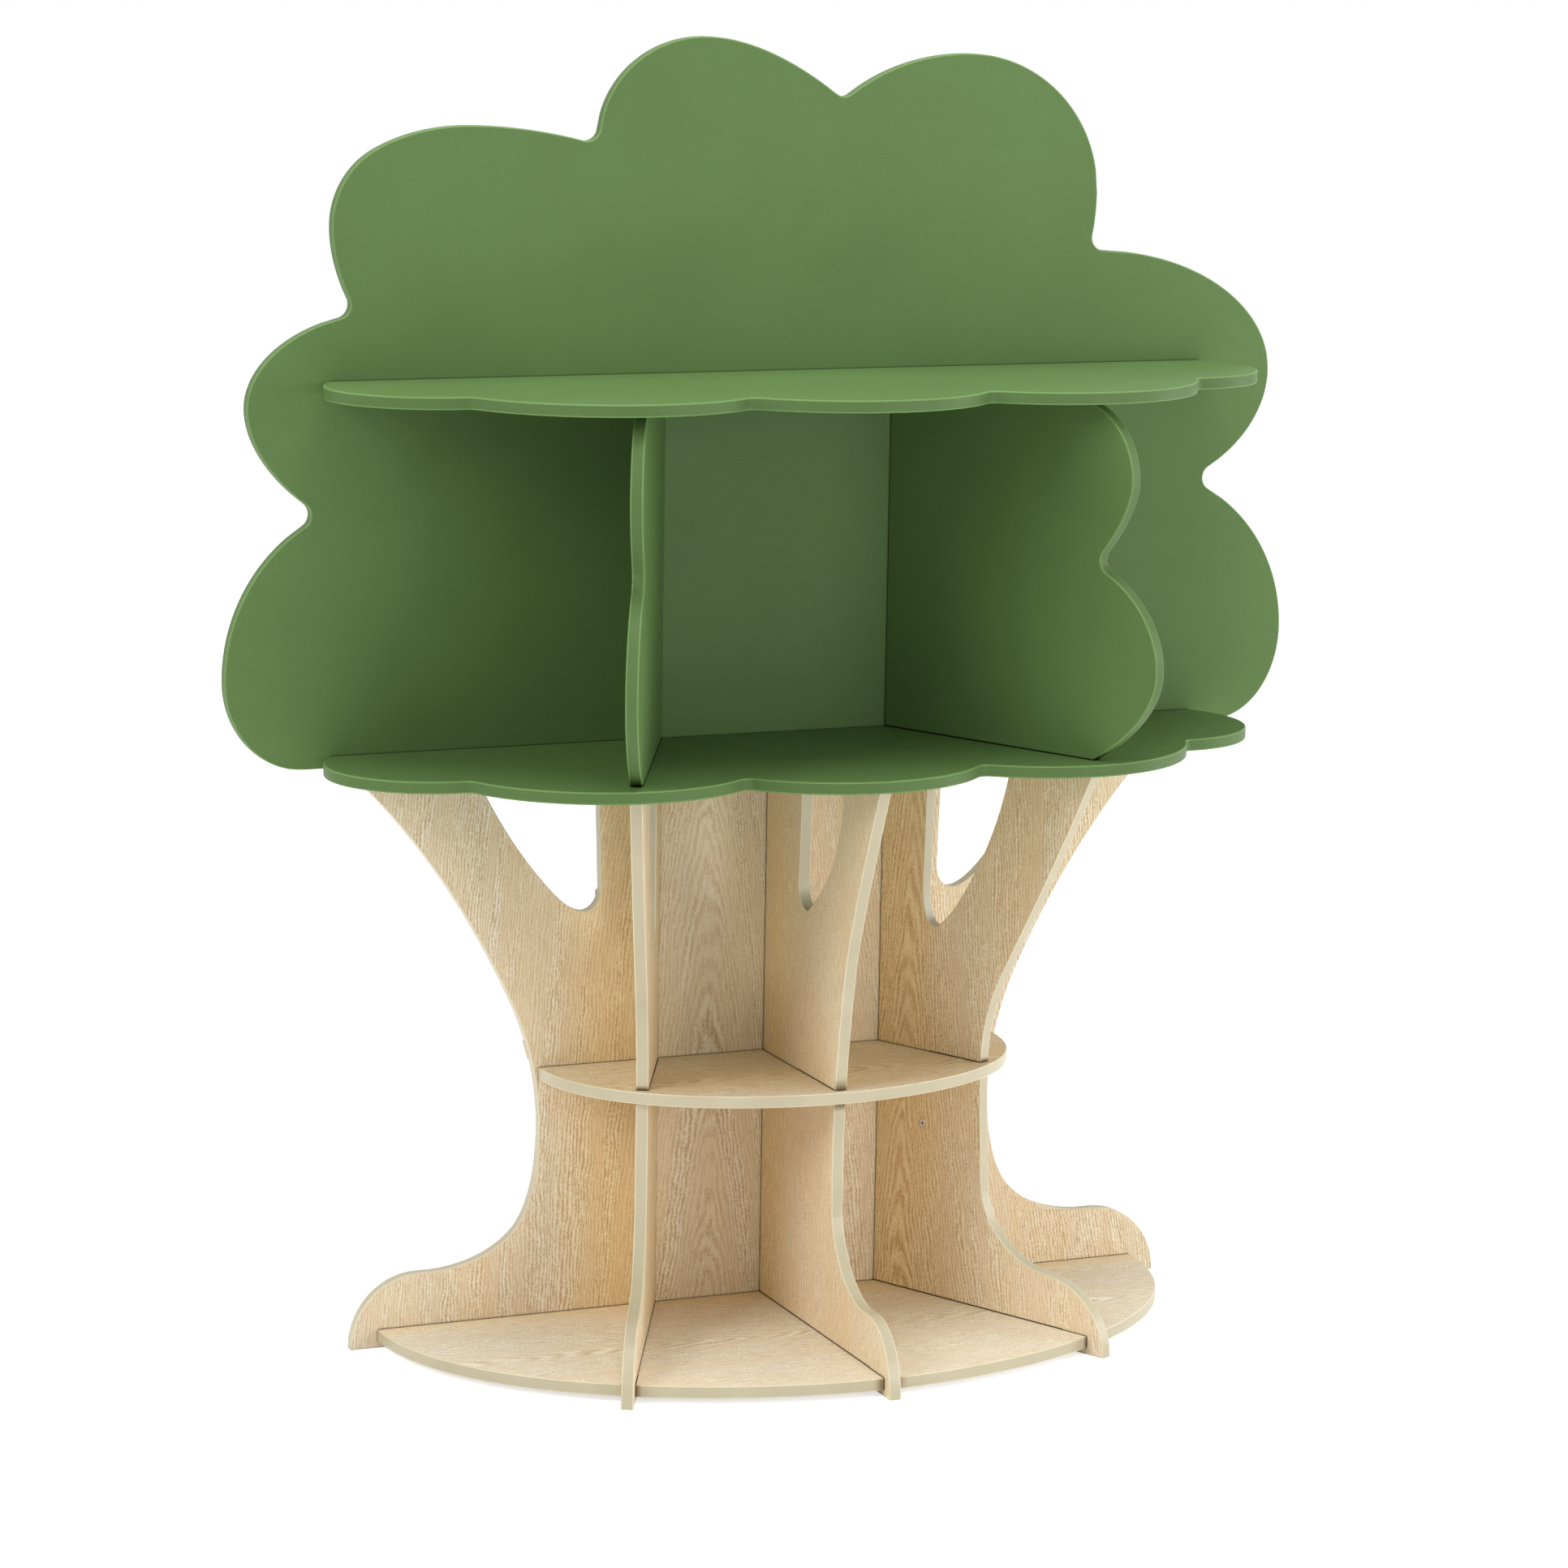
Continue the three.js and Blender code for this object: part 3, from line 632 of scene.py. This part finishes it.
def faceWay(side):
    return outwards(side).cross(up)


# Green boards, their arrises eased before they were sprayed.
crownLook = {
    "round": 0.0014,
    "segments": 4,
}


def addCrown(look):
    boards = [
        ("crownPanel", "crown_back_panel", back, None),
        ("lowerCrownShelf", "lower_crown_shelf", up, None),
        ("upperCrownShelf", "upper_crown_shelf", up, None),
        ("leftCrownDivider", "crown_divider_left", faceWay(-1), None),
        ("rightCrownDivider", "crown_divider_right", faceWay(1), "crown_divider_left"),
    ]
    for name, node, through, twin in boards:
        piece = dressBoard(name, node, through, look, lacquer, twin)


addCrown(crownLook)
print("crown dressed")


# Oak boards with cream bands on all their edges, each cut from its own stretch of the foil. The
# heart is how far the pattern is slid; amber is the middle and reach of a warmer stripe, painted
# warm bounce light; the painted light share is how far the board is washed paler by painted light.
trunkLook = {
    "round": 0.0010,
    "segments": 3,
    "foils": {
        "trunk_back_panel": {"heart": (0.080, 0.0, 0.9), "paintedLightShare": 0.25, "amber": (-0.085, 0.06)},
        "trunk_fin_left": {"heart": (0.10, 0.3, 0.2), "paintedLightShare": 0.10, "amber": (0.06, 0.05)},
        "trunk_fin_centre": {"heart": (0.26, 0.6, -1.2), "paintedLightShare": 0.10, "amber": (0.12, 0.05)},
        "trunk_fin_right": {"heart": (0.050, 0.9, -0.62), "paintedLightShare": 0.0, "amber": (-0.01, 0.07)},
        "mid_shelf": {"heart": (-0.05, 1.2, 0.3), "paintedLightShare": 0.10, "amber": (0.20, 0.06)},
        "base_shelf": {"heart": (-0.02, 1.5, 0.45), "paintedLightShare": 0.60, "amber": (0.15, 0.05)},
    },
}


def addTrunk(look):
    boards = [
        ("trunkPanel", "trunk_back_panel", back, across, up),
        ("midShelf", "mid_shelf", up, back, across),
        ("baseShelf", "base_shelf", up, back, across),
    ]
    for label, side in (("left", -1), ("centre", 0), ("right", 1)):
        boards.append((f"{label}Fin", f"trunk_fin_{label}", faceWay(side), outwards(side), up))
    for name, node, through, grainAcross, grainAlong in boards:
        oak = makeOak(f"{name}Oak", oakLook, grainAcross, grainAlong, look["foils"][node])
        piece = dressBoard(name, node, through, look, [oak, *band])


addTrunk(trunkLook)
print("trunk dressed")


# Fasteners keep their CAD shapes.
def dressFasteners():
    for name, node in nodes.items():
        if node.hide_render:
            continue
        node.data.materials.clear()
        node.data.materials.append(beech if "dowel" in name else nickel if "nut" in name else zinc)


dressFasteners()
print("fasteners dressed")


# Studio: a white floor, a soft white world and four large lamps.
studioLook = {
    "worldLight": 0.62,
    "floorReach": 9,
    "floorColor": (0.90, 0.90, 0.90),
    "floorGlow": 0.6,
    "aim": (0.0, 0.0, 0.65),
    "lamps": [
        {"name": "keyLamp", "place": (1.9, -3.5, 0.95), "size": 1.5, "watts": 33},
        {"name": "sideLamp", "place": (3.6, -0.8, 1.0), "size": 2.0, "watts": 46},
        {"name": "leftLamp", "place": (-3.1, -0.8, 2.4), "size": 2.0, "watts": 54},
        {"name": "topLamp", "place": (0.0, -0.2, 3.6), "size": 2.0, "watts": 58},
    ],
}


# 1 where the camera looks, straight or by way of a shiny or clear surface, and 0 for other light.
def seenStraight(tree):
    path = addNode(tree, "ShaderNodeLightPath").outputs
    glossy = reckon(tree, "MAXIMUM", path["Is Camera Ray"], path["Is Glossy Ray"])
    return reckon(tree, "MAXIMUM", glossy, path["Is Transmission Ray"])


def lightWorld(look):
    world = bpy.data.worlds.new("studioWorld")
    world.use_nodes = True
    tree = world.node_tree
    background = tree.nodes["Background"]
    background.inputs["Color"].default_value = (1, 1, 1, 1)
    strength = level(tree, seenStraight(tree), (0.0, 1.0), (look["worldLight"], 1.0))
    tree.links.new(strength, background.inputs["Strength"])
    scene.world = world


def layFloor(look):
    form = bmesh.new()
    bmesh.ops.create_grid(form, x_segments=1, y_segments=1, size=look["floorReach"])
    mesh = bpy.data.meshes.new("studioFloor")
    form.to_mesh(mesh)
    form.free()
    floor = bpy.data.objects.new("studioFloor", mesh)
    scene.collection.objects.link(floor)
    material, tree, shader, _ = startMaterial("whiteFloor")
    tree.nodes.remove(shader)
    color = (*look["floorColor"], 1)
    matt = addNode(tree, "ShaderNodeBsdfDiffuse", None, Color=color).outputs[0]
    strength = reckon(tree, "MULTIPLY", seenStraight(tree), look["floorGlow"])
    glow = addNode(tree, "ShaderNodeEmission", None, Strength=strength).outputs[0]
    both = addNode(tree, "ShaderNodeAddShader", None, i0=matt, i1=glow).outputs[0]
    tree.links.new(both, tree.nodes["Material Output"].inputs["Surface"])
    mesh.materials.append(material)


def hangLamps(look):
    for lamp in look["lamps"]:
        data = bpy.data.lights.new(lamp["name"], "AREA")
        data.shape = "DISK"
        data.size = lamp["size"]
        data.energy = lamp["watts"]
        holder = bpy.data.objects.new(lamp["name"], data)
        place = Vector(lamp["place"])
        sight = Vector(look["aim"]) - place
        holder.rotation_euler = sight.to_track_quat("-Z", "Y").to_euler()
        holder.location = place
        holder.visible_camera = False
        scene.collection.objects.link(holder)


lightWorld(studioLook)
layFloor(studioLook)
hangLamps(studioLook)
scene.view_settings.view_transform = "Standard"
print("studio lit")
